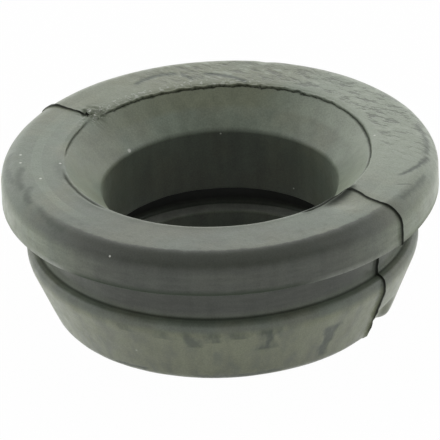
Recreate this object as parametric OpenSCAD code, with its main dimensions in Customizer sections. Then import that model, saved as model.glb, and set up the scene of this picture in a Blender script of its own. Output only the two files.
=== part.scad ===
// Rubber grommet: a flanged ring that snaps into a round hole and grips a stem.
// One moulding. The section is turned about the upright axis, the base sits on z = 0,
// and the parting plane of the mould is the XZ plane.

/* [Overall] */
// Height from the base to the top face
height = 12; // [11:0.1:14]

/* [Flange] */
// Outside diameter of the flange
flange_d = 32; // [31:0.1:40]
// Thickness of the flange at its edge
flange_t = 3; // [2:0.1:3.6]
// Rounding of the flange's upper edge
flange_edge_r = 1.4; // [0.3:0.05:1.6]
// Rounding of the flange's lower edge
flange_low_r = 0.35; // [0.1:0.05:0.4]

/* [Neck] */
// Diameter of the neck, the size of the hole it sits in
neck_d = 27.2; // [26:0.1:27.8]
// Height of the slot, the thickness of the panel that it holds
slot_h = 3.2; // [2.6:0.05:3.6]
// Fillet between the neck and the flange's underside
neck_fillet_r = 0.4; // [0.1:0.05:0.5]
// Fillet at the foot of the neck, where it meets the ledge
crease_r = 0.25; // [0.1:0.01:0.3]

/* [Skirt] */
// Largest diameter of the skirt, at its shoulder
shoulder_d = 28.8; // [28.4:0.1:30]
// Rounding of the shoulder's upper edge
shoulder_edge_r = 0.2; // [0.1:0.05:0.3]
// Height of the shoulder's upright wall, from the ledge down to the slope
shoulder_h = 0.95; // [0.85:0.05:1.3]
// Radius that blends the upright wall into the slope
brow_r = 3.5; // [1:0.1:4]
// Diameter at the foot of the skirt
foot_d = 25.5; // [24.5:0.1:27]
// Rounding of the foot
foot_r = 1; // [0.4:0.05:1.2]

/* [Inside] */
// Diameter of the mouth at the top face
mouth_d = 22.4; // [21:0.1:23]
// Rounding of the mouth's edge
mouth_edge_r = 0.6; // [0.2:0.05:0.7]
// Depth of the countersink from the top face
countersink_depth = 2.6; // [2:0.1:3.2]
// Diameter of the bore that grips the stem
bore_d = 17.3; // [16:0.1:18]
// Rounding where the countersink runs into the bore
throat_r = 0.9; // [0.3:0.05:1]
// Distance from the top face down to the lower end of the bore
bore_end_drop = 7.55; // [6.8:0.05:8]
// Diameter of the groove under the bore, for the bead of the stem
groove_d = 20.4; // [19.4:0.1:21]
// Height of the groove
groove_h = 2.05; // [1.6:0.05:2.4]
// Rounding in the two corners of the groove
groove_r = 0.35; // [0.1:0.05:0.5]
// Diameter of the hole through the bottom lip
lip_d = 17.7; // [16:0.1:18.6]
// Rounding on the edges of the bore's end and of the lip
lip_edge_r = 0.15; // [0.05:0.01:0.3]

/* [Parting flash] */
// How far the flash stands out along the parting line
flash_h = 0.2; // [0.1:0.05:0.3]
// Thickness of the flash
flash_t = 0.28; // [0.15:0.01:0.5]

/* [Hidden] */
$fn = 180;
rubber = "#4b4f49";
nudge = 0.05;
hair = 0.0005;
overshoot = 1;

flange_r = flange_d / 2;
neck_r = neck_d / 2;
mouth_r = mouth_d / 2;
bore_r = bore_d / 2;
groove_out = groove_d / 2;
lip_r = lip_d / 2;

underside_z = height - flange_t;
ledge_z = underside_z - slot_h;
bore_end_z = height - bore_end_drop;
groove_floor_z = bore_end_z - groove_h;
throat_z = height - countersink_depth;

brow = [shoulder_d / 2, ledge_z - shoulder_h];
foot_c = [foot_d / 2 - foot_r, foot_r];
skirt_run = brow - foot_c;
// Direction square to the skirt's slope, which runs from the brow and touches the foot's rounding
skirt_angle = atan2(skirt_run[1], skirt_run[0]) - acos(foot_r / norm(skirt_run));
skirt_normal = [cos(skirt_angle), sin(skirt_angle)];

function unit(v) = v / norm(v);

// The sliver between a corner at p, with its sides running to a and b, and an arc of
// radius r that touches both sides. Taken away it rounds an edge, added it fills a corner.
// slack widens a long, flat arc a little, so it crosses its sides and doesn't only graze them.
module corner(p, a, b, r, slack = 0) {
    u = unit(a - p);
    v = unit(b - p);
    half = acos(u * v) / 2;
    reach = r / tan(half);
    c = p + unit(u + v) * r / sin(half);
    difference() {
        polygon([p + unit(p - c) * nudge, p + u * reach, c, p + v * reach]);
        translate(c) circle(r + slack);
    }
}

// Outside of the section. grow is how far it stands out past the moulded face.
module flange_outline(grow = 0) {
    edge_c = [flange_r - flange_edge_r, height - flange_edge_r];
    low_c = [flange_r - flange_low_r, underside_z + flange_low_r];
    polygon([
        [0, underside_z - grow],
        [low_c[0], underside_z - grow],
        [flange_r + grow, low_c[1]],
        [flange_r + grow, edge_c[1]],
        [edge_c[0], height + grow],
        [0, height + grow]
    ]);
    translate(edge_c) circle(flange_edge_r + grow);
    translate(low_c) circle(flange_low_r + grow);
}

module skirt_outline(grow = 0) {
    edge = [brow[0] + grow, ledge_z + grow];
    below = [edge[0], brow[1] + grow * (1 - skirt_normal[0]) / skirt_normal[1]];
    foot_side = foot_c + (foot_r + grow) * skirt_normal;
    difference() {
        polygon([[0, -grow], [foot_c[0], -grow], foot_side, below, edge, [0, edge[1]]]);
        corner(edge, below, [0, edge[1]], shoulder_edge_r + grow);
        corner(below, edge, foot_side, brow_r + grow, hair);
    }
    translate(foot_c) circle(foot_r + grow);
}

module neck_outline(grow = 0) {
    translate([0, ledge_z - nudge]) square([neck_r + grow, slot_h + 2 * nudge]);
}

// The hollow: countersunk mouth, bore, undercut groove and the hole in the lip
module hollow() {
    mouth = [mouth_r, height];
    throat = [bore_r, throat_z];
    bore_end = [bore_r, bore_end_z];
    lip_top = [lip_r, groove_floor_z];
    difference() {
        polygon([
            [0, -overshoot],
            [lip_r, -overshoot],
            lip_top,
            [groove_out, groove_floor_z],
            [groove_out, bore_end_z],
            bore_end,
            throat,
            mouth,
            [mouth_r, height + overshoot],
            [0, height + overshoot]
        ]);
        corner([groove_out, groove_floor_z], lip_top, [groove_out, bore_end_z], groove_r);
        corner([groove_out, bore_end_z], bore_end, [groove_out, groove_floor_z], groove_r);
    }
    corner(mouth, [flange_r, height], throat, mouth_edge_r);
    corner(throat, mouth, bore_end, throat_r);
    corner(bore_end, throat, [groove_out, bore_end_z], lip_edge_r);
    corner(lip_top, [groove_out, groove_floor_z], [lip_r, 0], lip_edge_r);
    corner([lip_r, 0], lip_top, foot_c - [0, foot_r], lip_edge_r);
}

module moulded_section() {
    difference() {
        union() {
            flange_outline();
            neck_outline();
            skirt_outline();
            corner([neck_r, underside_z], [flange_r, underside_z], [neck_r, ledge_z], neck_fillet_r);
            corner([neck_r, ledge_z], [neck_r, underside_z], [brow[0], ledge_z], crease_r);
        }
        hollow();
    }
}

// Thin flash that was squeezed out between the mould halves, left on both sides
module flash() {
    intersection() {
        rotate_extrude() difference() {
            union() {
                flange_outline(flash_h);
                neck_outline(flash_h);
                skirt_outline(flash_h);
            }
            hollow();
        }
        translate([-flange_d, -flash_t / 2, 0]) cube([2 * flange_d, flash_t, 2 * height]);
    }
}

module grommet() {
    color(rubber) {
        rotate_extrude() moulded_section();
        flash();
    }
}

grommet();
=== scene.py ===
import math

import bpy
import numpy as np
from mathutils import Matrix, Vector, noise


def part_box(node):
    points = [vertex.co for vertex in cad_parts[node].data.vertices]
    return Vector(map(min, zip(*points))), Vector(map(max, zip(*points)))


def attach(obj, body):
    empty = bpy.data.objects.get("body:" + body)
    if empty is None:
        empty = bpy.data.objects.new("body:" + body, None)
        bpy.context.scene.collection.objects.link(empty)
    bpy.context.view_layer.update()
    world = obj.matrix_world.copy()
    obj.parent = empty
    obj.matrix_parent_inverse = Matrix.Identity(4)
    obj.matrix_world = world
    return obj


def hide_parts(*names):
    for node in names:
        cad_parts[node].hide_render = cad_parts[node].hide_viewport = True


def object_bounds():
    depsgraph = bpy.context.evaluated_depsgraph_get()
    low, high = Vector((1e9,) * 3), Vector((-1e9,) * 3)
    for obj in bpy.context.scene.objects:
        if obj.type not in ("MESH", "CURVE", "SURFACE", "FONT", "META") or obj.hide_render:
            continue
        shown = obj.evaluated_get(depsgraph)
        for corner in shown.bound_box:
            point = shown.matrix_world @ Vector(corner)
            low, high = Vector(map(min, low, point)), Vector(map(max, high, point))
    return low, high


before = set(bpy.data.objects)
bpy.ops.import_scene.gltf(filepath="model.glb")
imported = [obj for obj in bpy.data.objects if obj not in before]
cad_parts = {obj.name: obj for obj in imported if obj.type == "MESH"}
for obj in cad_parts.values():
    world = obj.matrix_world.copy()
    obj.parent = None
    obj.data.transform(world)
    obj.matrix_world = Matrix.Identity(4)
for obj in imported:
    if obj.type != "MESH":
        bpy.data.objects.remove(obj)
cadBox = [list(corner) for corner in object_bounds()]
mm = 0.001

# Sizes that come from the frame: the flash stands out past the flange along X and past the top face
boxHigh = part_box("grommet")[1]
flashHeight = (boxHigh.x - boxHigh.y) / mm
flangeR = boxHigh.y / mm
height = boxHigh.z / mm - flashHeight


# Camera

cameraSetup = {
    "azimuth": 36.71,        # degrees round from the parting plane's square side
    "elevation": 27.776,
    "distance": 411.96,      # mm from the middle of the top face
    "lens": 461.2,           # mm on a 36 mm sensor
    "aimDown": 0.01184,      # how far the aim drops below the top face, as a slope
    "aimSide": -0.00031,     # and how far it turns aside
    "roll": -2.639,          # degrees, the picture's right side sits a little higher
}


def placeCamera(setup):
    around = math.radians(setup["azimuth"])
    lift = math.radians(setup["elevation"])
    roll = math.radians(setup["roll"])
    topCentre = Vector((0, 0, height * mm))
    back = Vector((math.sin(around) * math.cos(lift), -math.cos(around) * math.cos(lift), math.sin(lift)))
    right = Vector((math.cos(around), math.sin(around), 0))
    up = right.cross(-back)
    aim = (-back - setup["aimDown"] * up + setup["aimSide"] * right).normalized()
    side = aim.cross(up).normalized()
    above = side.cross(aim)
    turnedSide = math.cos(roll) * side + math.sin(roll) * above
    turnedUp = math.cos(roll) * above - math.sin(roll) * side
    data = bpy.data.cameras.new("camera")
    data.sensor_width = 36
    data.lens = setup["lens"]
    data.clip_start = 0.01
    data.clip_end = 20
    camera = bpy.data.objects.new("camera", data)
    bpy.context.scene.collection.objects.link(camera)
    place = Matrix((turnedSide, turnedUp, -aim)).transposed().to_4x4()
    place.translation = topCentre + back * setup["distance"] * mm
    camera.matrix_world = place
    bpy.context.scene.camera = camera


placeCamera(cameraSetup)
print("camera placed")


# The moulded section, in millimetres

section = {
    "flangeT": 3.0, "flangeEdge": 1.4, "flangeLow": 0.07,
    "neckR": 13.6, "neckFillet": 0.4, "ledgeDrop": 6.2, "creaseFillet": 0.2,
    "shoulderR": 14.4, "shoulderEdge": 0.42, "browDrop": 7.15, "browRound": 2.1,
    "footR": 12.75, "footEdge": 1.0,
    "mouthR": 11.2, "mouthEdge": 0.6, "mouthNear": 0.55,
    "countersink": 2.6, "boreR": 8.65, "throatEdge": 0.6,
    "boreEndDrop": 7.55, "grooveR": 10.2, "grooveH": 2.05, "grooveEdge": 0.35,
    "lipR": 8.85, "lipEdge": 0.15,
}

flash = {
    # half its thickness, against the distance round the section from the mouth
    "halfRight": [(0, 0.13), (1.5, 0.085), (5, 0.10), (9, 0.07), (13, 0.09), (18, 0.13)],
    "halfLeft": [(0, 0.09), (2.2, 0.07), (3.2, 0.12), (3.8, 0.22), (7, 0.22), (9, 0.08)],
    "uneven": [(0.3, 1.7, 8.0)],     # noise in its thickness: strength, cells to the mm, shift
    "edge": 0.035,       # how softly it meets the moulding
    "topRise": 0.11,     # how far it stands up on the top face
    "neckRise": 0.26,
    "tightest": 0.05,    # the smallest fillet that the raised section keeps
    "ragged": 0.45,      # how much of its height comes and goes
    "raggedNoise": [(0.9, 1.1, 21.0), (0.5, 4.0, 3.0)],
    "leastHeight": 0.1,  # share of its height that always stays
}

# How much bloom lies on each stretch, from the lip round to the base
bloomOf = {
    # lipTop, ledge and shoulder are set high partly as bloom and partly as painted light, deep in the hole
    # and under the flange's overhang
    "hole": 0.35, "lipTop": 1.0, "grooveWall": 0.0, "grooveTop": 0.0, "bore": 0.32, "cone": 0.92,
    "top": 0.88, "side": 0.88, "underside": 0.0, "neck": 0.05,
    "ledge": 0.75, "shoulder": 0.5, "skirt": 0.57, "base": 0.2,
}
bloomEase = 0.6          # below 1 the bloom changes early round a corner
nearlyStraight = 1e-6


def meet(p, along, q, other):
    # Where the line through p meets the line through q, or p itself if they run the same way
    cross = along[0] * other[1] - along[1] * other[0]
    if abs(cross) < nearlyStraight:
        return p
    k = ((q[0] - p[0]) * other[1] - (q[1] - p[1]) * other[0]) / cross
    return p + along * k


def sectionCorners(s):
    # Corners run up the inside, out over the top, down the outside and back along the base.
    # Each has its place, its rounding, rows round the corner, rows on the straight after it,
    # how far the flash stands off that straight, and the straight's name.
    footC = Vector((s["footR"] - s["footEdge"], s["footEdge"]))
    brow = Vector((s["shoulderR"], height - s["browDrop"]))
    run = brow - footC
    turn = math.atan2(run.y, run.x) - math.acos(s["footEdge"] / run.length)
    skirtPoint = footC + Vector((math.cos(turn), math.sin(turn))) * s["footEdge"]
    foot = meet(brow, skirtPoint - brow, Vector((0, 0)), Vector((1, 0)))
    ledge = height - s["ledgeDrop"]
    boreEnd = height - s["boreEndDrop"]
    grooveFloor = boreEnd - s["grooveH"]
    throat = Vector((s["boreR"], height - s["countersink"]))
    mouth = Vector((s["mouthR"], height))
    underside = height - s["flangeT"]
    nearMouth = mouth + (throat - mouth).normalized() * s["mouthNear"]
    top, side, neck = flash["topRise"], flashHeight, flash["neckRise"]
    return [
        (Vector((s["lipR"], 0)), s["lipEdge"], 3, 4, 0, "hole"),
        (Vector((s["lipR"], grooveFloor)), s["lipEdge"], 3, 3, 0, "lipTop"),
        (Vector((s["grooveR"], grooveFloor)), s["grooveEdge"], 4, 3, 0, "grooveWall"),
        (Vector((s["grooveR"], boreEnd)), s["grooveEdge"], 4, 3, 0, "grooveTop"),
        (Vector((s["boreR"], boreEnd)), s["lipEdge"], 4, 7, 0, "bore"),
        (throat, s["throatEdge"], 7, 6, 0, "cone"),
        (nearMouth, 0, 0, 5, 0, "cone"),
        (mouth, s["mouthEdge"], 10, 6, top, "top"),
        (mouth + Vector((s["mouthNear"], 0)), 0, 0, 12, top, "top"),
        (Vector((flangeR, height)), s["flangeEdge"], 13, 4, side, "side"),
        (Vector((flangeR, underside)), s["flangeLow"], 6, 4, top, "underside"),
        (Vector((s["neckR"], underside)), s["neckFillet"], 4, 7, neck, "neck"),
        (Vector((s["neckR"], ledge)), s["creaseFillet"], 4, 2, side, "ledge"),
        (Vector((s["shoulderR"], ledge)), s["shoulderEdge"], 6, 2, side, "shoulder"),
        (brow, s["browRound"], 5, 13, side, "skirt"),
        (foot, s["footEdge"], 9, 5, 0, "base"),
    ]


def movedCorners(places, along, rise):
    # Where the corners go when each straight moves outward by its rise
    moved = []
    for i, place in enumerate(places):
        before, after = along[i - 1], along[i]
        outBefore = Vector((-before.y, before.x)) * rise[i - 1]
        outAfter = Vector((-after.y, after.x)) * rise[i]
        if abs(before.cross(after)) < nearlyStraight:
            moved.append(place + outAfter)
        else:
            moved.append(meet(place + outBefore, before, place + outAfter, after))
    return moved


def roundCorner(p, before, after, rounding, lifted, steps):
    # The arc that touches both straights. A lifted edge gets a wider arc and a lifted fillet a tighter one.
    if not rounding:
        return [p]
    convex = before.cross(after) < 0
    radius = rounding + lifted if convex else max(rounding - lifted, flash["tightest"])
    half = math.acos(max(-1, min(1, -before.dot(after)))) / 2
    centre = p + (after - before).normalized() * radius / math.sin(half)
    a = p - before * radius / math.tan(half) - centre
    b = p + after * radius / math.tan(half) - centre
    sweep = math.atan2(a.cross(b), a.dot(b))
    return [centre + Matrix.Rotation(sweep * k / steps, 2) @ a for k in range(steps + 1)]


def traceSection(corners, grown):
    # Turns the corners into rows of points. The grown section stands off by the flash's height.
    places = [c[0] for c in corners]
    count = len(places)
    along = [(places[(i + 1) % count] - places[i]).normalized() for i in range(count)]
    rise = [c[4] if grown else 0 for c in corners]
    moved = movedCorners(places, along, rise)
    arcs = []
    for i, corner in enumerate(corners):
        lifted = (rise[i - 1] + rise[i]) / 2
        arcs.append(roundCorner(moved[i], along[i - 1], along[i], corner[1], lifted, corner[2]))
    points, bloom, outer = [], [], []
    for i, arc in enumerate(arcs):
        onThis, onLast = bloomOf[corners[i][5]], bloomOf[corners[i - 1][5]]
        steps = max(len(arc) - 1, 1)
        points.extend(arc)
        bloom.extend(onLast + (onThis - onLast) * (k / steps) ** bloomEase for k in range(len(arc)))
        outer.extend(bool(corners[i][4] and (corners[i - 1][4] or k > steps / 2)) for k in range(len(arc)))
        start, end = arc[-1], arcs[(i + 1) % count][0]
        for k in range(1, corners[i][3]):
            points.append(start.lerp(end, k / corners[i][3]))
            bloom.append(onThis)
            outer.append(corners[i][4] > 0)
    return np.array([list(p) for p in points]), np.array(bloom), np.array(outer)


def smoothStep(x, low, high):
    t = np.clip((x - low) / (high - low), 0, 1)
    return t * t * (3 - 2 * t)


def bump(x, middle, width):
    return np.exp(-((x - middle) / width) ** 2)


def span(x, low, high, soft):
    # 1 between low and high, with soft ends
    return smoothStep(x, low - soft, low + soft) * (1 - smoothStep(x, high - soft, high + soft))


def field(points, scale, shift):
    # Smooth noise over the points, about -1 to 1
    flat = points.reshape(-1, 3) * scale + shift
    return np.array([noise.noise(Vector(p)) for p in flat]).reshape(points.shape[:-1])


def layered(points, layers):
    # Noise of several sizes together, each with its strength, its cells to the mm and its shift
    return sum(strength * field(points, scale, shift) for strength, scale, shift in layers)


# Columns round the axis: even ones, and close ones across the flash

columns = {
    "even": 540,
    # distances from the parting plane, in mm at the flange's radius
    "flashSteps": [0, 0.03, 0.045, 0.06, 0.075, 0.09, 0.11, 0.14, 0.19, 0.26, 0.35, 0.45, 0.57, 0.72],
    "releaseEnd": 28.0,      # degrees over which the columns go back to even spacing
}


def columnOffsets(setup):
    # Angles from the parting plane at the flange's radius
    near = [math.degrees(math.asin(y / flangeR)) for y in setup["flashSteps"]]
    far = np.linspace(near[-1], 90, setup["even"] // 4 + 1)[1:]
    quarter = near + list(far)
    half = quarter + [180 - a for a in quarter[-2::-1]]
    return np.radians(np.array(half + [360 - a for a in half[-2:0:-1]]))


def columnHold(base):
    # 1 beside the flash, falling to 0 where the columns are evenly spaced
    folded = np.abs((np.degrees(base) + 90) % 180 - 90)
    releaseStart = math.degrees(math.asin(columns["flashSteps"][-1] / flangeR))
    return 1 - smoothStep(folded, releaseStart, columns["releaseEnd"])


def columnAngles(base, radius):
    # Near the flash a column keeps its distance from the plane at every radius
    held = np.arcsin(np.clip(flangeR * np.sin(base) / radius, -1, 1))
    held = np.where(np.cos(base) < 0, math.pi - held, held)
    held = held + np.round((base - held) / (2 * math.pi)) * 2 * math.pi
    return base + (held - base) * columnHold(base)


# How far each fin strays off the parting plane, in mm, against the distance round the section from the mouth

fins = {
    "right": [(-1.5, 0.0), (0.0, 0.42), (0.6, 0.40), (1.1, 0.26), (1.9, -0.08), (2.6, -0.20), (3.4, -0.28),
              (4.6, -0.12), (5.8, 0.0), (7.0, -0.06), (9.4, 0.44), (10.8, 0.36), (12.4, -0.05), (13.4, -0.15),
              (13.8, -0.16), (15.0, -0.02), (16.6, -0.04), (17.6, 0.14), (18.4, 0.10)],
    "left": [(-1.5, 0.0), (0.0, -0.12), (2.0, -0.07), (3.4, -0.05), (4.4, -0.16), (6.0, 0.0)],
}


def strayAngles(base, radius, along):
    # The turn that moves the columns over to the fins
    stray = np.zeros(len(base))
    for side, sign in (("right", 1), ("left", -1)):
        off = np.interp(along, *zip(*fins[side]))
        stray = np.where(np.cos(base) * sign > 0, sign * off / radius, stray)
    return stray * columnHold(base)


# Faults of the moulding, in millimetres and degrees round from the right-hand flash

faults = {
    # the mouth's radius drifts, as angle and mm, and its edge has jags, as angle, width in degrees and mm
    "mouthDrift": [(-180, 0.28), (-160, 0.28), (-140, 0.20), (-120, 0.05), (-100, 0.0), (-60, -0.08),
                   (-15, -0.13), (0, -0.08), (20, 0.04), (45, 0.08), (60, 0.22), (78, 0.34), (100, 0.22),
                   (115, 0.08), (130, 0.0), (150, -0.06), (165, 0.04), (180, 0.28)],
    "mouthJags": [(-177, 4, 0.22), (173.5, 4, -0.16), (-6.5, 5.5, -0.34), (0.5, 2.5, -0.10)],
    "jagPlace": 0.1, "jagReach": 0.5,            # mm round the section from the mouth's edge
    "driftFrom": 3.2, "driftFull": 0.5,          # mm below the top face
    "driftFade": (0.6, 2.6),                     # mm outside the mouth's edge
    "halvesFrom": (0.1, 0.7),                    # mm outside it, where the two mould halves begin to differ
    "halvesSoft": 0.1,
    "backStep": (0.05, 0, 0.045),                # the back half of the mould against the front half
    # the seam that the mould's core left round the mouth, as from angle, to angle, softness and strength
    "seamArcs": [(4, 176, 6, 1.0), (184, 210, 5, 0.8), (-133, -102, 5, 0.8), (-22, 1, 3, 1.0)],
    "seamWidth": 0.065, "seamDepth": 0.11,
    # where it is wider and where it lies further out, as from angle, to angle, softness and mm
    "seamWider": [(-136, -98, 8, 0.05), (-24, 62, 8, 0.05), (-134, -104, 6, 0.045), (-22, 0, 4, 0.05)],
    "seamPlace": -0.25, "seamOut": (-140, 1, 12, 0.40),
    "seamNoise": [(0.05, 1.5, 5.0), (0.05, 5.0, 9.0)], "seamSteady": 0.5,
    # painted shade beside the seam, as mm off it, width, from angle, to angle and softness
    "seamShade": [(0.24, 0.46, -13, 4, 3), (0.0, 0.26, -21, 3, 3)],
    # on the torn stretch the seam wanders more and its lip stands up more
    "tornArc": (78, 186, 10), "tornWander": 1.5, "tornLip": 2.2, "tornLipNoise": (6.0, 2.0),
    "lipRise": 0.045, "lipPlace": 2.1, "lipWidth": 1.2,      # the last two in widths of the seam
    "lipless": (-26, 2, 3),
    # spots, as angle, radius, depth or height, and size
    "nick": (112.3, 15.0, 0.16, 0.35),
    "tornEnd": (177.5, 11.7, 0.36, 0.8), "tornNoise": [(1.2, 2.2, 4.0), (1.0, 6.5, 1.0)],
    "junctionDip": (-7.0, 11.9, 0.16, 1.1),
    "shortFoot": (-2, 14, 3), "shortHeight": 2.6, "shortDepth": 0.35, "shortLift": 0.8,
    "ripple": [(0.03, 0.22, 0.0), (0.010, 0.9, 7.0)],
}


corners = sectionCorners(section)
plainRows, rowBloom, rowOuter = traceSection(corners, False)
grownRows = traceSection(corners, True)[0]
base = columnOffsets(columns)
print("section has", len(plainRows), "rows and", len(base), "columns")


def rowNormals(rows):
    # Outward directions, square to the section
    ahead = np.roll(rows, -1, axis=0) - np.roll(rows, 1, axis=0)
    out = np.stack([-ahead[:, 1], ahead[:, 0]], axis=1)
    return out / np.linalg.norm(out, axis=1, keepdims=True)


def fromMouthEdge(rows):
    # Distance along the section from the middle of the mouth's edge, the top face on the plus side
    steps = np.linalg.norm(np.diff(rows, axis=0), axis=1)
    along = np.concatenate([[0], np.cumsum(steps)])
    return along - along[np.argmin(np.hypot(rows[:, 0] - section["mouthR"], rows[:, 1] - height))]


def nearRow(radius, up, width):
    # 1 in the row nearest to a place on the section, falling off along it
    along = fromMouthEdge(plainRows)
    gap = np.hypot(plainRows[:, 0] - radius, plainRows[:, 1] - up)
    return bump(along, along[np.argmin(gap)], width)


def rimDistance(rows):
    # Distance past the top face's outer border, measured outward and down
    border = flangeR - section["flangeEdge"]
    past = np.clip(np.maximum(rows[:, 0] - border, height - rows[:, 1]), -1, 1)
    onFlange = (rows[:, 0] > section["neckR"] - 0.5) & (rows[:, 1] > height - section["flangeT"] - 0.01)
    return np.where(onFlange, past, -1)


def overColumns(rows):
    # What each row holds, repeated for every column
    return np.repeat(rows[:, None], len(base), axis=1)


def turnedOut(flat, spread):
    # Points or directions of the section, turned round the axis
    return np.concatenate([flat[..., :1] * spread, flat[..., 1:]], axis=-1)


def finThickness(along):
    # Half the flash's thickness for each row
    right, left = (np.interp(along, *zip(*flash[side]))[:, None] for side in ("halfRight", "halfLeft"))
    lengths = np.stack([along * 0, along * 0, along], axis=-1)
    return np.where(np.cos(base) > 0, right, left) * (1 + layered(lengths, flash["uneven"])[:, None])


def buildMoulding():
    along = fromMouthEdge(plainRows)
    angles = np.stack([columnAngles(base, radius) for radius in plainRows[:, 0]])
    offPlane = plainRows[:, :1] * np.sin(angles)
    angles = angles + np.stack([strayAngles(base, r, a) for r, a in zip(plainRows[:, 0], along)])
    spread = np.stack([np.cos(angles), np.sin(angles)], axis=-1)
    half = finThickness(along)
    onFlash = 1 - smoothStep(np.abs(offPlane), half - flash["edge"], half + flash["edge"])
    plain, grown = overColumns(plainRows), overColumns(grownRows)
    still = turnedOut(plain, spread)
    ragged = 1 - flash["ragged"] * (0.5 + layered(still, flash["raggedNoise"]))
    raised = onFlash * np.clip(ragged, flash["leastHeight"], 1)
    points = turnedOut(plain + (grown - plain) * raised[..., None], spread)
    lift, seam = mouldFaults(still, angles)
    points = points + turnedOut(overColumns(rowNormals(plainRows)), spread) * lift[..., None]
    points = points + mouldShifts(still, offPlane, angles, along, spread)
    low, high = (np.array(corner) / mm for corner in cadBox)
    points = np.clip(points, (low[0], low[1], 0), high)
    return points, onFlash * rowOuter[:, None], seam


def nearSpot(still, turn, radius, size):
    # 1 at a spot on the top face or in the mouth, falling off over its size
    x, y = radius * math.cos(math.radians(turn)), radius * math.sin(math.radians(turn))
    distance = np.hypot(still[..., 0] - x, still[..., 1] - y)
    return np.where(still[..., 2] > height - section["countersink"], np.exp(-(distance / size) ** 2), 0)


def aroundSpan(degrees, start, end, soft):
    # 1 from one angle to another. Angles count from -180, or from 0 for a stretch that ends past 180.
    turned = degrees % 360 if end > 180 else (degrees + 180) % 360 - 180
    return span(turned, start, end, soft)


def mouldFaults(still, angles):
    # How far the faults lift the surface, and how much painted shade lies in the seam round the mouth and
    # beside it
    degrees = np.degrees(angles)
    edge = overColumns(fromMouthEdge(plainRows))
    torn = aroundSpan(degrees, *faults["tornArc"])
    width = faults["seamWidth"]
    for *arc, extra in faults["seamWider"]:
        width = width + extra * aroundSpan(degrees, *arc)
    strength = np.maximum.reduce([share * aroundSpan(degrees, *arc) for *arc, share in faults["seamArcs"]])
    *outArc, out = faults["seamOut"]
    wander = layered(still, faults["seamNoise"]) * (faults["seamSteady"] + faults["tornWander"] * torn)
    place = faults["seamPlace"] + wander + out * aroundSpan(degrees, *outArc)
    seam = bump(edge, place, width) * strength
    lip = bump(edge, place + faults["lipPlace"] * width, width * faults["lipWidth"]) * strength
    lip = lip * (1 - aroundSpan(degrees, *faults["lipless"]))
    crumbled = 1 + faults["tornLip"] * torn * (0.5 + field(still, *faults["tornLipNoise"]))
    lift = faults["lipRise"] * lip * crumbled - faults["seamDepth"] * seam
    lift = lift + layered(still, faults["ripple"])
    for turn, radius, depth, size in (faults["nick"], faults["junctionDip"]):
        lift = lift - depth * nearSpot(still, turn, radius, size)
    turn, radius, rise, size = faults["tornEnd"]
    lift = lift + rise * nearSpot(still, turn, radius, size) * layered(still, faults["tornNoise"])
    # painted shade beside the seam, along the mouth's edge at the front right
    for off, wide, *arc in faults["seamShade"]:
        seam = np.maximum(seam, bump(edge, place + off, wide) * aroundSpan(degrees, *arc))
    return lift, seam


def mouldShifts(still, offPlane, angles, along, spread):
    # The mouth drifts in and out, and the back half of the mould stands a little off the front half
    outOfMouth = np.hypot(still[..., 0], still[..., 1]) - section["mouthR"]
    atMouth = smoothStep(still[..., 2], height - faults["driftFrom"], height - faults["driftFull"])
    atMouth = atMouth * (1 - smoothStep(outOfMouth, *faults["driftFade"]))
    outside = smoothStep(outOfMouth, *faults["halvesFrom"])
    back = smoothStep(offPlane, -faults["halvesSoft"], faults["halvesSoft"]) * outside
    degrees = (np.degrees(angles) + 180) % 360 - 180
    drift = np.interp(degrees, *zip(*faults["mouthDrift"]))
    jag = 0
    for turn, width, out in faults["mouthJags"]:
        jag = jag + out * bump((degrees - turn + 180) % 360 - 180, 0, width)
    atEdge = bump(along, faults["jagPlace"], faults["jagReach"])[:, None]
    shift = (back - 0.5 * outside)[..., None] * np.array(faults["backStep"])
    shift[..., :2] += spread * (drift * atMouth + jag * atEdge)[..., None]
    low = 1 - smoothStep(still[..., 2], faults["shortHeight"] / 2, faults["shortHeight"])
    short = back * aroundSpan(degrees, *faults["shortFoot"]) * low * faults["shortDepth"]
    shift[..., :2] -= spread * short[..., None]
    shift[..., 2] += short * faults["shortLift"]
    return shift


def meshFromGrid(name, points):
    rowCount, columnCount = points.shape[:2]
    grid = np.arange(rowCount * columnCount).reshape(rowCount, columnCount)
    nextRow = np.roll(grid, -1, axis=0)
    nextColumn = np.roll(grid, -1, axis=1)
    corner = np.roll(nextRow, -1, axis=1)
    faces = np.stack([grid, nextRow, corner, nextColumn], axis=-1).reshape(-1, 4)
    mesh = bpy.data.meshes.new(name)
    mesh.from_pydata((points.reshape(-1, 3) * mm).tolist(), [], faces.tolist())
    mesh.shade_smooth()
    mesh.validate()
    return mesh


def addMask(mesh, name, values):
    # The values come one to a point, or one to a row
    if values.ndim == 1:
        values = overColumns(values)
    mask = mesh.attributes.new(name, "FLOAT", "POINT")
    mask.data.foreach_set("value", values.reshape(-1).astype(np.float32))


# Lines round the section that the rubber's looks follow: radius, height and width in mm
ledgeHeight = height - section["ledgeDrop"]
tracedLines = {
    # creaseMask places painted light on the neck above the crease
    "creaseMask": (section["neckR"], ledgeHeight + 0.32, 0.24),
    # filletMask places painted shade in the crease's corner
    "filletMask": (section["neckR"] + 0.16, ledgeHeight + 0.02, 0.15),
    # lowEdgeMask places painted shade and painted highlights along the flange's lower edge
    "lowEdgeMask": (flangeR, height - section["flangeT"], 0.13),
}

mouldingPoints, onFlash, onSeamAndShade = buildMoulding()
mesh = meshFromGrid("moulding", mouldingPoints)
addMask(mesh, "flashMask", onFlash)
addMask(mesh, "seamAndShadeMask", onSeamAndShade)
addMask(mesh, "bloomMask", rowBloom)
for name, line in tracedLines.items():
    addMask(mesh, name, nearRow(*line))
addMask(mesh, "rimMask", rimDistance(plainRows))
grommet = bpy.data.objects.new("rubberGrommet", mesh)
bpy.context.scene.collection.objects.link(grommet)
print("moulding has", len(mesh.polygons), "faces")


# Rubber

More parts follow.
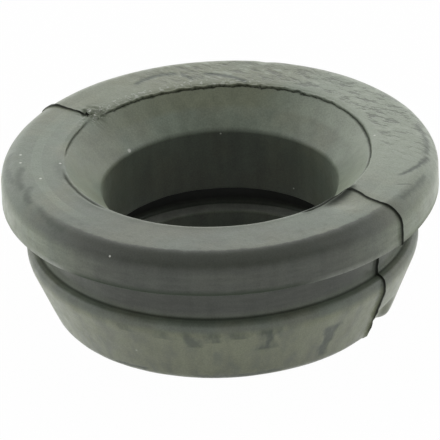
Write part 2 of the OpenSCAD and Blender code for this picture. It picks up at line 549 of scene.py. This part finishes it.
def nodeOf(tree, kind, **values):
    node = tree.nodes.new(kind)
    for key, value in values.items():
        setattr(node, key, value)
    return node


def wire(tree, source, target):
    # A number or colour is set, and a socket is linked
    if isinstance(source, bpy.types.NodeSocket):
        tree.links.new(source, target)
    else:
        target.default_value = source


def calc(tree, operation, *values, clamp=False):
    node = nodeOf(tree, "ShaderNodeMath", operation=operation, use_clamp=clamp)
    for i, value in enumerate(values):
        wire(tree, value, node.inputs[i])
    return node.outputs[0]


def times(tree, first, *rest):
    for value in rest:
        first = calc(tree, "MULTIPLY", first, value)
    return first


def plus(tree, a, b):
    return calc(tree, "ADD", a, b)


def minus(tree, a, b):
    return calc(tree, "SUBTRACT", a, b)


def most(tree, first, *rest):
    for value in rest:
        first = calc(tree, "MAXIMUM", first, value)
    return first


def blendColour(tree, factor, a, b, kind="MIX"):
    node = nodeOf(tree, "ShaderNodeMix", data_type="RGBA", blend_type=kind)
    wire(tree, factor, node.inputs["Factor"])
    wire(tree, a, node.inputs["A"])
    wire(tree, b, node.inputs["B"])
    return node.outputs["Result"]


def grey(tree, value):
    node = nodeOf(tree, "ShaderNodeCombineColor")
    for socket in node.inputs:
        wire(tree, value, socket)
    return node.outputs[0]


def ramp(tree, value, low, high, toLow=0.0, toHigh=1.0):
    node = nodeOf(tree, "ShaderNodeMapRange", interpolation_type="SMOOTHSTEP")
    wire(tree, value, node.inputs["Value"])
    for name, number in (("From Min", low), ("From Max", high), ("To Min", toLow), ("To Max", toHigh)):
        wire(tree, number, node.inputs[name])
    return node.outputs["Result"]


def zone(tree, at, windows):
    # 1 where every measure lies in its window. A window may be open at one end.
    shown = []
    for measure, low, high, soft in windows:
        if low is not None:
            shown.append(ramp(tree, at[measure], low - soft, low + soft))
        if high is not None:
            shown.append(ramp(tree, at[measure], high - soft, high + soft, 1.0, 0.0))
    return times(tree, *shown)


def cloud(tree, place, scale, detail=4.0, stretch=(1, 1, 1), rough=0.55):
    # Noise with so many cells to the millimetre
    size = nodeOf(tree, "ShaderNodeVectorMath", operation="MULTIPLY")
    wire(tree, place, size.inputs[0])
    size.inputs[1].default_value = [scale * s for s in stretch]
    node = nodeOf(tree, "ShaderNodeTexNoise")
    wire(tree, size.outputs[0], node.inputs["Vector"])
    node.inputs["Scale"].default_value = 1
    node.inputs["Detail"].default_value = detail
    node.inputs["Roughness"].default_value = rough
    return node.outputs["Fac"]


def masked(tree, name):
    return nodeOf(tree, "ShaderNodeAttribute", attribute_name=name).outputs["Fac"]


def nearAngle(tree, angle, middle):
    # Degrees away from a middle angle, on either side
    turn = calc(tree, "WRAP", minus(tree, angle, float(middle)), 180.0, -180.0)
    return calc(tree, "ABSOLUTE", turn)


def newGroup(name, inputs, outputs):
    group = bpy.data.node_groups.new(name, "ShaderNodeTree")
    for title, start in inputs:
        kind = "NodeSocketVector" if isinstance(start, tuple) else "NodeSocketFloat"
        group.interface.new_socket(title, in_out="INPUT", socket_type=kind).default_value = start
    for title in outputs:
        group.interface.new_socket(title, in_out="OUTPUT", socket_type="NodeSocketFloat")
    return group, group.nodes.new("NodeGroupInput").outputs, group.nodes.new("NodeGroupOutput").inputs


def makeCurvedMark():
    # A soft line: Across follows a bow from First through Middle to Last while Along goes from Start to End
    group, given, out = newGroup("curvedMark", [
        ("Along", 0.0), ("Across", 0.0), ("Start", 0.0), ("End", 1.0),
        ("First", 0.0), ("Middle", 0.0), ("Last", 0.0), ("Width", 0.1)], ["Mask"])
    run = minus(group, given["End"], given["Start"])
    t = calc(group, "DIVIDE", minus(group, given["Along"], given["Start"]), run)
    rest = minus(group, 1.0, t)
    first = times(group, given["First"], times(group, rest, rest))
    ends = times(group, plus(group, given["First"], given["Last"]), 0.5)
    bend = minus(group, times(group, given["Middle"], 2.0), ends)
    middle = times(group, bend, times(group, t, rest, 2.0))
    last = times(group, given["Last"], times(group, t, t))
    line = plus(group, plus(group, first, middle), last)
    off = calc(group, "ABSOLUTE", minus(group, given["Across"], line))
    near = ramp(group, calc(group, "DIVIDE", off, given["Width"]), 0.0, 1.0, 1.0, 0.0)
    faded = times(group, ramp(group, t, -0.02, 0.12), ramp(group, t, 0.88, 1.02, 1.0, 0.0))
    wire(group, times(group, near, faded), out["Mask"])
    return group


def makeSpot():
    # A small round speck at a place
    group, given, out = newGroup("spot", [
        ("Place", (0.0, 0.0, 0.0)), ("Centre", (0.0, 0.0, 0.0)), ("Size", 0.1)], ["Mask"])
    gap = nodeOf(group, "ShaderNodeVectorMath", operation="DISTANCE")
    wire(group, given["Place"], gap.inputs[0])
    wire(group, given["Centre"], gap.inputs[1])
    near = ramp(group, calc(group, "DIVIDE", gap.outputs["Value"], given["Size"]), 0.4, 1.0, 1.0, 0.0)
    wire(group, near, out["Mask"])
    return group


rubber = {
    "dark": (0.060, 0.066, 0.054, 1),
    "bloom": (0.205, 0.246, 0.190, 1),
    "warm": (0.222, 0.244, 0.176, 1),
    # thickBloomAndHighlight: thick bloom on the cone, and painted light at the back right of the top and on
    # the sides' limbs
    "thickBloomAndHighlight": (0.288, 0.330, 0.256, 1),
    # paintedHighlight: painted highlights on the far limbs and the scratches' glints, and painted light on
    # the neck above the crease
    "paintedHighlight": (0.37, 0.41, 0.33, 1),
    # lip: painted light on the lip's top in the hole and painted highlights along the flange's lower edge,
    # and the real crumbs at the torn edge
    "lip": (0.55, 0.57, 0.52, 1),
    "olive": (0.208, 0.228, 0.148, 1),
    # flash: near-black painted shade on the fins
    "flash": (0.008, 0.010, 0.006, 1),
    # seam: painted shade in the seam round the mouth and beside it, in the bore's groove and in the crease's
    # fillet
    "seam": (0.010, 0.012, 0.008, 1),
    # stainAndShade: real stains and drips, and painted shade along the flange's lower edge and the mouth's
    # front right edge
    "stainAndShade": (0.040, 0.058, 0.036, 1),
    "speck": (0.62, 0.64, 0.58, 1),
    # past the top face's border the sides keep a painted highlight and the front hardly any
    "rimBloom": 0.11,        # what is left of the bloom past the top face's border, at the front
    "limbHighlight": 0.95,       # and at the sides
    "rimSoft": 0.22,         # mm
    "waver": 0.5,            # mm that the bloom's border wavers by
    # how strong each layer of bloom, painted shade or painted highlight is
    "paintedFrontShade": 0.42, "neckHighlight": 0.32, "sideHighlight": 0.85, "creasePaintedLight": 0.26,
    # the cone's thick bloom, as middle angle, from, to, and how much at each, and how its ends waver
    "conePatch": (16, 38.0, 50.0, 0.62, 0.24), "coneWaver": 12.0,
    # painted light on the lip's top deep in the hole
    "lipLight": (8.8, 10.0, 0.45, 1.0),          # from radius, to radius, and how much at each
    # glints are painted highlights, and filletShade is painted shade in the crease's corner
    "scratches": 0.55, "glints": 0.75, "filletShade": 0.6, "seamDark": 0.95, "crumbs": 0.45,
    # how far the dark marks waver, in mm on top, degrees on the skirt and mm at the foot
    "markWaver": 0.5, "skirtWaver": 11.0, "footWaver": 0.4,
    "ior": 1.5, "sheen": 0.35, "sheenRoughness": 0.35, "sheenTint": (0.90, 1.0, 0.80, 1),
    "smooth": 0.28, "rough": 0.41,               # roughness, as the mottle goes
    "dullEdge": 0.9, "dullRoughness": 0.35, "specular": 0.5, "dullSpecular": 0.36,
    "relief": {"grain": 0.35, "dark": 0.8, "crumbs": 1.6, "scratches": 1.6},
    "bump": 0.35, "bumpDepth": 0.06,             # the second in mm
}

# Noises over the surface: cells to the mm, detail, stretch and roughness
clouds = {
    "blotch": (0.35, 4), "mottle": (1.6, 5), "grain": (9.0, 3), "warmth": (0.22, 3), "crumble": (2.9, 3),
    "smear": (0.9, 5, (1, 1, 0.35)), "runs": (0.9, 3, (1, 1, 0.2)), "streaks": (0.45, 4, (1, 1, 6)),
    "strokes": (2.3, 4, (0.42, 1, 1), 0.62),
    "unsteady": (2.6, 4), "drifting": (1.3, 4, (1, 1, 0.45)),
}

# What the noises are used as: the noise, from, to, and the value at each
levels = {
    "blotched": ("blotch", 0.25, 0.75, 0.86, 1.12),
    "mottled": ("mottle", 0.3, 0.7, 0.92, 1.07),
    "warmed": ("warmth", 0.38, 0.62, 0.0, 1.0),
    "oliveSkirt": ("smear", 0.28, 0.56, 0.25, 1.0),
    "oliveSide": ("smear", 0.35, 0.6, 0.05, 0.5),
    "grained": ("grain", 0.3, 0.7, 0.88, 1.12),
    "ran": ("runs", 0.3, 0.7, -0.09, 0.09),
    "streaked": ("streaks", 0.3, 0.7, -0.14, 0.14),
    "scratched": ("strokes", 0.48, 0.64, 0.0, 1.0),
    "glinting": ("strokes", 0.45, 0.33, 0.0, 1.0),
    "patchy": ("mottle", 0.35, 0.6, 0.6, 1.0),
    "crumbling": ("crumble", 0.54, 0.64, 0.0, 1.0),
}

# Zones in mm: the measure, from, to, and how softly it ends. None leaves that end open.
zones = {
    "onTop": [("height", 10.7, None, 0.2)],
    "belowTop": [("height", None, 11.5, 0.3)],
    "onNeck": [("radius", 13.0, 13.72, 0.06), ("height", 5.85, None, 0.05)],
    "inBore": [("height", 4.4, 9.2, 0.2), ("radius", None, 8.9, 0.1)],
    "onSide": [("height", 9.0, 11.0, 0.4), ("radius", 15.1, None, 0.3)],
    "onCone": [("height", 9.35, 11.8, 0.15), ("radius", None, 11.45, 0.15)],
    "onLip": [("radius", 8.95, 9.98, 0.06), ("height", 2.2, 2.75, 0.12)],
    "inGroove": [("radius", 9.2, 10.5, 0.06), ("height", 2.85, 4.6, 0.12)],
    "onSkirt": [("height", None, 5.0, 0.3), ("radius", 11.5, None, 0.3)],
    "onWalls": [("radius", 13.15, None, 0.15), ("height", 6.2, 10.8, 0.3)],
    "scuffed": [("height", 10.7, None, 0.2), ("radius", 11.9, None, 0.3)],
    "tornEdge": [("radius", 11.15, 11.9, 0.1), ("height", 10.7, None, 0.2)],
}

# How things change round the axis: middle angle, from and to in degrees away from it, and the value at each
fans = {
    # limb and farLimb place painted highlights on the sides as the camera sees them
    "limb": (-53, 25.0, 78.0, 0.0, 1.0),         # the two sides of the photo's view
    "farLimb": (-53, 62.0, 84.0, 0.0, 0.85),
    # painted shade on the front of the top face
    "paintedShadeFront": (-70, 15.0, 75.0, 1.0, 0.0),
    # painted light on the bore's right side
    "boreLight": (52, 8.0, 45.0, 0.22, 0.0),
    # painted light on the back right of the top face
    "paintedLightBack": (54, 14.0, 62.0, 1.0, 0.0),
    "greenLeft": (140, 26.0, 50.0, 0.55, 0.0),
    "scuffedBack": (92, 36.0, 76.0, 1.0, 0.0),
    # painted shade on the flange's lower edge at the front
    "lowEdgeDark": (-66, 20.0, 44.0, 0.9, 0.0),
    # painted highlights along the flange's lower edge, at the left and the front right
    "litLeft": (-112, 9.0, 19.0, 1.0, 0.0),
    "litRight": (-14, 8.0, 22.0, 0.5, 0.0),
    "tornLeft": (150, 28.0, 48.0, 1.0, 0.0),
}

meshMasks = ["flashMask", "seamAndShadeMask", "bloomMask", "creaseMask", "filletMask", "lowEdgeMask", "rimMask"]

# Dark lines on the top face: from angle, to angle, radius at the start, middle and end, width, strength
topMarks = [
    (155.1, 138.2, 12.9, 13.55, 13.34, 0.44, 0.9),
    (138.2, 134.4, 13.3, 12.7, 12.1, 0.60, 0.9),
    (131.5, 114.0, 12.94, 12.35, 11.35, 0.46, 0.95),
    (50.0, 30.0, 14.75, 15.2, 15.1, 0.40, 0.75),
    (30.5, 16.0, 15.3, 14.75, 13.75, 0.38, 0.95),
    (10.5, 13.0, 14.1, 14.6, 15.3, 0.34, 0.55),
    (21.0, 3.5, 15.5, 15.35, 15.2, 0.36, 0.60),
    # the next three lines are painted shade along the mouth's edge at the front right
    (-24.0, 4.0, 11.2, 11.05, 11.35, 0.80, 1.0),
    (-17.0, 6.0, 11.25, 11.1, 11.4, 0.45, 1.0),
    (-10.0, 1.5, 11.6, 11.5, 11.6, 0.36, 0.45),
    (-142.0, -127.0, 11.55, 11.75, 11.5, 0.62, 0.45),
    (-104.0, -134.0, 11.2, 11.5, 11.65, 0.30, 0.35),
    (-118.0, -128.0, 15.1, 14.9, 14.2, 0.50, 0.70),
    (-126.0, -141.0, 14.9, 14.8, 14.3, 0.50, 0.70),
    (-131.0, -151.0, 15.2, 15.5, 15.3, 0.42, 0.60),
    (-100.0, -116.0, 15.3, 15.2, 14.8, 0.40, 0.55),
]

# Dark drips on the skirt: from height, to height, angle at the start, middle and end, width, strength
skirtMarks = [
    (5.3, 2.9, -41.5, -41.0, -42.0, 4.4, 0.95),
    (3.9, 0.7, -19.5, -21.5, -20.7, 3.4, 0.95),
    (5.3, 3.5, -65.0, -64.0, -63.0, 4.4, 0.75),
    (5.3, 4.0, -57.5, -57.0, -57.0, 3.6, 0.70),
    (5.3, 4.3, -50.5, -51.0, -50.0, 4.0, 0.65),
    (5.3, 4.2, -73.0, -73.0, -72.0, 4.4, 0.60),
    (5.1, 4.4, -84.0, -84.0, -83.0, 4.0, 0.45),
]

# Dark lines along the foot, placed like the marks on top with heights in place of radii
footMarks = [
    (-94.0, -80.0, 0.55, 0.60, 0.66, 0.22, 0.9),
    (-66.0, -34.0, 0.45, 0.40, 0.55, 0.30, 0.8),
    (-122.0, -112.0, 0.9, 0.7, 0.7, 0.26, 0.6),
    (-112.0, -94.0, 0.4, 0.35, 0.4, 0.2, 0.6),
]

# Pale specks: angle, radius, height, size
specks = [
    (178.2, 12.0, 12.1, 0.17), (176.2, 11.75, 12.1, 0.15), (179.0, 11.45, 12.0, 0.12),
    (174.6, 11.6, 12.0, 0.12), (177.2, 12.4, 12.05, 0.10), (173.4, 11.9, 12.0, 0.09),
    (174.1, 10.77, 11.56, 0.13), (175.5, 8.8, 9.5, 0.20), (49.7, 10.84, 11.7, 0.13),
    (125.3, 8.66, 9.1, 0.09), (87.5, 8.65, 5.2, 0.08), (-106.0, 10.95, 11.8, 0.20),
    (-103.5, 11.05, 11.85, 0.14), (-141.0, 11.6, 12.0, 0.13), (171.0, 9.9, 10.7, 0.10),
    (-148.2, 14.56, 11.95, 0.13), (-143.2, 14.5, 11.95, 0.14), (-131.8, 13.28, 12.0, 0.14),
    (45.0, 11.6, 12.0, 0.12), (-84.0, 15.8, 11.3, 0.11), (-82.5, 13.38, 2.5, 0.13),
]


def surfaceValues(tree, setup):
    # What the layers are placed by: measures in mm and degrees, noises, zones, fans and the mesh's masks
    scale = nodeOf(tree, "ShaderNodeVectorMath", operation="SCALE")
    wire(tree, nodeOf(tree, "ShaderNodeTexCoord").outputs["Object"], scale.inputs[0])
    scale.inputs["Scale"].default_value = 1 / mm
    place = scale.outputs[0]
    split = nodeOf(tree, "ShaderNodeSeparateXYZ")
    wire(tree, place, split.inputs[0])
    x, y, z = split.outputs
    radius = calc(tree, "SQRT", plus(tree, times(tree, x, x), times(tree, y, y)))
    angle = calc(tree, "DEGREES", calc(tree, "ARCTAN2", y, x))
    at = {"place": place, "height": z, "radius": radius, "angle": angle}
    for name, cells in clouds.items():
        at[name] = cloud(tree, place, *cells)
    for name, (source, *shape) in levels.items():
        at[name] = ramp(tree, at[source], *shape)
    for name, windows in zones.items():
        at[name] = zone(tree, at, windows)
    for name, (middle, *shape) in fans.items():
        at[name] = ramp(tree, nearAngle(tree, angle, middle), *shape)
    for name in meshMasks:
        at[name] = masked(tree, name)
    at["waver"] = times(tree, minus(tree, at["mottle"], 0.5), setup["waver"])
    return at


def bloomAndPaintedLightColour(tree, at, setup):
    # The bloom ends at a crisp, wavy border where the top face starts to round over. Past it a little is left
    # at the front and a painted highlight at the sides
    left = ramp(tree, at["limb"], 0.0, 1.0, setup["rimBloom"], setup["limbHighlight"])
    rounded = ramp(tree, plus(tree, at["rimMask"], at["waver"]), 0.0, setup["rimSoft"], 1.0, left)
    bloomAndPaintedLightShare = times(tree, at["bloomMask"], at["blotched"], at["mottled"], rounded)
    # Painted shade thins it at the front, and painted light thickens it at the back right
    paintedFrontShade = times(tree, at["paintedShadeFront"], at["onTop"], setup["paintedFrontShade"])
    bloomAndPaintedLightShare = times(tree, bloomAndPaintedLightShare, minus(tree, 1.0, paintedFrontShade))
    # painted highlight on the neck at the sides
    bloomAndPaintedLightShare = plus(tree, bloomAndPaintedLightShare, times(tree, at["onNeck"], at["limb"], setup["neckHighlight"]))
    # painted light on the bore's right side
    bloomAndPaintedLightShare = calc(tree, "ADD", bloomAndPaintedLightShare, times(tree, at["inBore"], at["boreLight"]), clamp=True)
    tinted = blendColour(tree, at["warmed"], setup["bloom"], setup["warm"])
    colour = blendColour(tree, bloomAndPaintedLightShare, setup["dark"], tinted)
    onLimb = times(tree, at["onSide"], at["limb"])
    middle, *shape = setup["conePatch"]
    away = plus(tree, nearAngle(tree, at["angle"], middle), times(tree, at["waver"], setup["coneWaver"]))
    # Layers over it: painted light on the back right of the top, painted highlights on the sides' limbs, the
    # cone's thick bloom, painted light on the neck above the crease, painted light on the lip in the hole,
    # and painted shade in the groove
    for mask, name in (
            (times(tree, at["paintedLightBack"], at["onTop"], rounded), "thickBloomAndHighlight"),
            (times(tree, onLimb, setup["sideHighlight"]), "thickBloomAndHighlight"),
            (times(tree, at["onSide"], at["farLimb"]), "paintedHighlight"),
            (times(tree, at["onCone"], ramp(tree, away, *shape)), "thickBloomAndHighlight"),
            (times(tree, at["creaseMask"], setup["creasePaintedLight"]), "paintedHighlight"),
            (times(tree, at["onLip"], ramp(tree, at["radius"], *setup["lipLight"])), "lip"),
            (at["inGroove"], "seam")):
        colour = blendColour(tree, mask, colour, setup[name])
    olive = most(tree, times(tree, at["onSkirt"], at["oliveSkirt"]), times(tree, onLimb, at["oliveSide"]),
                 times(tree, at["onTop"], at["greenLeft"]))
    colour = blendColour(tree, olive, colour, setup["olive"])
    ground = plus(tree, at["grained"], times(tree, at["ran"], at["belowTop"]))
    ground = plus(tree, times(tree, at["streaked"], at["onWalls"]), ground)
    return blendColour(tree, 1.0, colour, grey(tree, ground), "MULTIPLY")


def markMask(tree, at, setup):
    # The dark marks, whose lines waver a little: real stains and drips, and painted shade along the flange's
    # lower edge and the mouth's front right edge
    unsteady = minus(tree, at["unsteady"], 0.5)
    drifting = minus(tree, at["drifting"], 0.5)
    acrossTop = plus(tree, at["radius"], times(tree, unsteady, setup["markWaver"]))
    acrossSkirt = plus(tree, at["angle"], times(tree, drifting, setup["skirtWaver"]))
    acrossFoot = plus(tree, at["height"], times(tree, unsteady, setup["footWaver"]))
    group = makeCurvedMark()
    # painted shade along the flange's lower edge at the front
    dark = times(tree, at["lowEdgeMask"], at["lowEdgeDark"])
    for marks, along, across, where in (
            (topMarks, at["angle"], acrossTop, at["onTop"]),
            (skirtMarks, at["height"], acrossSkirt, at["onSkirt"]),
            (footMarks, at["angle"], acrossFoot, at["onSkirt"])):
        for *line, strength in marks:
            mark = nodeOf(tree, "ShaderNodeGroup", node_tree=group)
            names = ("Along", "Across", "Start", "End", "First", "Middle", "Last", "Width")
            for name, value in zip(names, [along, across] + line):
                wire(tree, value, mark.inputs[name])
            dark = most(tree, dark, times(tree, mark.outputs[0], where, strength))
    return dark


def speckMask(tree, at):
    group = makeSpot()
    pale = []
    for turn, radius, up, size in specks:
        spot = nodeOf(tree, "ShaderNodeGroup", node_tree=group)
        around = math.radians(turn)
        wire(tree, at["place"], spot.inputs["Place"])
        wire(tree, (radius * math.cos(around), radius * math.sin(around), up), spot.inputs["Centre"])
        wire(tree, size, spot.inputs["Size"])
        pale.append(spot.outputs[0])
    return most(tree, *pale)


def makeRubber(setup):
    material = bpy.data.materials.new("bloomedRubber")
    material.use_nodes = True
    tree = material.node_tree
    shader = tree.nodes["Principled BSDF"]
    at = surfaceValues(tree, setup)
    colour = bloomAndPaintedLightColour(tree, at, setup)

    # Slanted scratches over the back and right of the top face with painted glints beside them, and crumbs
    # along the torn edge of the mouth
    scuffed = times(tree, at["scuffedBack"], at["scuffed"])
    scratch = times(tree, at["scratched"], scuffed)
    crumbs = times(tree, at["tornEdge"], at["tornLeft"], at["crumbling"])
    dark = markMask(tree, at, setup)
    # painted highlights along the flange's lower edge
    lit = times(tree, most(tree, at["litLeft"], at["litRight"]), at["patchy"], at["lowEdgeMask"])
    # Over it: the scratches, their painted glints, the marks with their painted shade, painted shade in the
    # crease's corner, painted highlights on the lower edge, painted shade in and beside the seam, the crumbs,
    # near-black painted shade on the fins, and the specks
    for mask, name in (
            (times(tree, scratch, setup["scratches"]), "dark"),
            (times(tree, at["glinting"], scuffed, setup["glints"]), "paintedHighlight"),
            (dark, "stainAndShade"),
            (times(tree, at["filletMask"], setup["filletShade"]), "seam"),
            (lit, "lip"),
            (times(tree, at["seamAndShadeMask"], setup["seamDark"]), "seam"),
            (times(tree, crumbs, setup["crumbs"]), "lip"),
            (at["flashMask"], "flash"),
            (speckMask(tree, at), "speck")):
        colour = blendColour(tree, mask, colour, setup[name])
    wire(tree, colour, shader.inputs["Base Color"])

    edges = times(tree, at["lowEdgeMask"], setup["dullEdge"])
    dull = most(tree, at["flashMask"], at["seamAndShadeMask"], edges, at["filletMask"])
    rough = ramp(tree, at["mottle"], 0.3, 0.7, setup["smooth"], setup["rough"])
    wire(tree, plus(tree, rough, times(tree, dull, setup["dullRoughness"])), shader.inputs["Roughness"])
    specular = minus(tree, setup["specular"], times(tree, dull, setup["dullSpecular"]))
    wire(tree, specular, shader.inputs["Specular IOR Level"])
    for socket, name in (("IOR", "ior"), ("Sheen Weight", "sheen"), ("Sheen Roughness", "sheenRoughness"),
                         ("Sheen Tint", "sheenTint")):
        wire(tree, setup[name], shader.inputs[socket])

    share = setup["relief"]
    relief = plus(tree, times(tree, at["grain"], share["grain"]), at["mottle"])
    relief = minus(tree, relief, times(tree, most(tree, dark, at["seamAndShadeMask"]), share["dark"]))
    relief = plus(tree, relief, times(tree, crumbs, share["crumbs"]))
    relief = minus(tree, relief, times(tree, scratch, share["scratches"]))
    skin = nodeOf(tree, "ShaderNodeBump")
    wire(tree, setup["bump"], skin.inputs["Strength"])
    wire(tree, setup["bumpDepth"] * mm, skin.inputs["Distance"])
    wire(tree, relief, skin.inputs["Height"])
    wire(tree, skin.outputs["Normal"], shader.inputs["Normal"])
    return material


mesh.materials.append(makeRubber(rubber))
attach(grommet, "root")
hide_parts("grommet")
print("rubber ready")


# Floor and light

studio = {
    "floorSize": 1.2,
    "floorTint": 0.88,
    "whiteShare": 0.985,     # how much of the floor's white is its own
    "patch": 11.9,           # mm, the shaded floor under the grommet
    "patchInner": 0.88,      # where its edge starts, as a share of that
    "patchShare": 0.045,     # how much of the white is left there
    "wallLevel": 1.4,        # the white wall behind and to the sides
    "frontLevel": 0.16,      # the room behind the camera, high up
    "frontLow": 0.80,        # and low down
    "topLevel": 0.35,
    # where the levels change: the first by how far a direction faces the wall, the others by how steep it is
    "wallTurn": (-0.6, 0.1), "frontTurn": (0.10, 0.42), "topTurn": (0.60, 0.95),
}


def makeFloor(setup):
    size = setup["floorSize"]
    data = bpy.data.meshes.new("floor")
    corners = [(-size, -size, 0), (size, -size, 0), (size, size, 0), (-size, size, 0)]
    data.from_pydata(corners, [], [(0, 1, 2, 3)])
    floor = bpy.data.objects.new("floor", data)
    bpy.context.scene.collection.objects.link(floor)
    material = bpy.data.materials.new("whiteTable")
    material.use_nodes = True
    tree = material.node_tree
    tree.nodes.remove(tree.nodes["Principled BSDF"])
    paper = nodeOf(tree, "ShaderNodeBsdfDiffuse")
    wire(tree, (setup["floorTint"],) * 3 + (1,), paper.inputs["Color"])
    white = nodeOf(tree, "ShaderNodeEmission")
    wire(tree, (1, 1, 1, 1), white.inputs["Color"])
    ray = nodeOf(tree, "ShaderNodeLightPath")
    seen = most(tree, ray.outputs["Is Camera Ray"], ray.outputs["Is Glossy Ray"])
    # The patch under the grommet stays in its own shade
    out = nodeOf(tree, "ShaderNodeVectorMath", operation="LENGTH")
    wire(tree, nodeOf(tree, "ShaderNodeTexCoord").outputs["Object"], out.inputs[0])
    edge = setup["patch"] * mm
    clear = ramp(tree, out.outputs["Value"], edge * setup["patchInner"], edge, setup["patchShare"])
    mix = nodeOf(tree, "ShaderNodeMixShader")
    wire(tree, times(tree, seen, clear, setup["whiteShare"]), mix.inputs[0])
    wire(tree, paper.outputs[0], mix.inputs[1])
    wire(tree, white.outputs[0], mix.inputs[2])
    wire(tree, mix.outputs[0], tree.nodes["Material Output"].inputs["Surface"])
    data.materials.append(material)


def blendLevel(tree, factor, a, b):
    node = nodeOf(tree, "ShaderNodeMix", data_type="FLOAT")
    wire(tree, factor, node.inputs["Factor"])
    wire(tree, a, node.inputs["A"])
    wire(tree, b, node.inputs["B"])
    return node.outputs["Result"]


def makeWorld(setup):
    # A white wall behind, a dim room in front, and plain white where the camera sees it
    world = bpy.data.worlds.new("softRoom")
    bpy.context.scene.world = world
    world.use_nodes = True
    tree = world.node_tree
    background = tree.nodes["Background"]
    wire(tree, (1, 1, 1, 1), background.inputs["Color"])
    place = nodeOf(tree, "ShaderNodeTexCoord").outputs["Generated"]
    around = math.radians(cameraSetup["azimuth"])
    facing = nodeOf(tree, "ShaderNodeVectorMath", operation="DOT_PRODUCT")
    wire(tree, place, facing.inputs[0])
    wire(tree, (-math.sin(around), math.cos(around), 0), facing.inputs[1])
    split = nodeOf(tree, "ShaderNodeSeparateXYZ")
    wire(tree, place, split.inputs[0])
    front = ramp(tree, split.outputs["Z"], *setup["frontTurn"], setup["frontLow"], setup["frontLevel"])
    wall = ramp(tree, facing.outputs["Value"], *setup["wallTurn"], front, setup["wallLevel"])
    level = blendLevel(tree, ramp(tree, split.outputs["Z"], *setup["topTurn"]), wall, setup["topLevel"])
    ray = nodeOf(tree, "ShaderNodeLightPath")
    shown = blendLevel(tree, ray.outputs["Is Camera Ray"], level, 1.0)
    wire(tree, shown, background.inputs["Strength"])


makeFloor(studio)
makeWorld(studio)
bpy.context.scene.view_settings.view_transform = "Standard"
print("studio ready")
